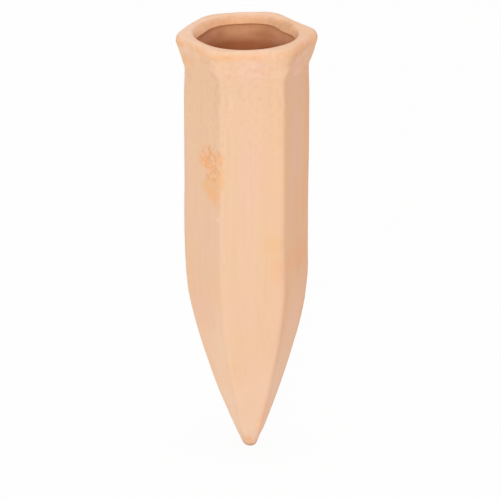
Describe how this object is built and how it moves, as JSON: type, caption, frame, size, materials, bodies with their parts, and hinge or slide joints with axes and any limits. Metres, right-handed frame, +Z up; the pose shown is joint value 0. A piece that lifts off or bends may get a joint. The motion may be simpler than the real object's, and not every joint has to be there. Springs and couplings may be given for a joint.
{
  "type": "self watering spike",
  "caption": "Hollow hexagonal watering spike of unglazed clay with a flared collar, an open mouth for an upturned bottle and a long point that is pushed into the soil.",
  "frame": {"origin": "on the axis at the neck under the collar, the level that the soil comes up to", "axes": "+Z up along the axis, out of the mouth; two corners of the hexagon lie on the X axis, and two of its flats face +Y and -Y"},
  "size_m": [0.0562, 0.0508, 0.18],
  "materials": {
    "unglazed_clay": "matt, porous, light terracotta"
  },
  "bodies": {
    "root": {"clay_spike": "unglazed_clay"}
  },
  "joints": []
}
